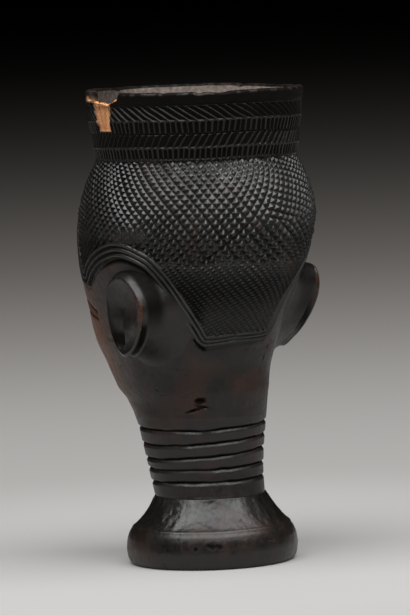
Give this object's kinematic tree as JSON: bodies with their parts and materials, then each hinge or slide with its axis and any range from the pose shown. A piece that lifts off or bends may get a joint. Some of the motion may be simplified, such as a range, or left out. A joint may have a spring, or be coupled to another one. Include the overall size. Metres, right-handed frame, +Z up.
{
  "type": "head-shaped cup",
  "caption": "Carved wooden drinking cup in the shape of a head with a cross-hatched coiffure, a patterned collar at the mouth, a ringed neck and a round foot.",
  "frame": {"origin": "centre of the foot's underside, on the table", "axes": "+Z up along the cup to its mouth, -Y the way the face looks, +X the figure's left ear"},
  "size_m": [0.1002, 0.1274, 0.21],
  "materials": {
    "dark_wood": "nearly black patinated wood with a worn, oiled sheen",
    "skin_wood": "dark wood rubbed red-brown on the raised parts, with a worn sheen",
    "hair_wood": "nearly black carved wood, dull in the cuts and polished on the tops",
    "collar_wood": "nearly black carved wood with lighter wear along the ridges and fresh wood in an old break"
  },
  "bodies": {
    "root": {"foot": "dark_wood", "neck": "dark_wood", "head": "skin_wood", "coiffure": "hair_wood", "rim_collar": "collar_wood", "left_ear": "skin_wood", "right_ear": "skin_wood"}
  },
  "joints": []
}
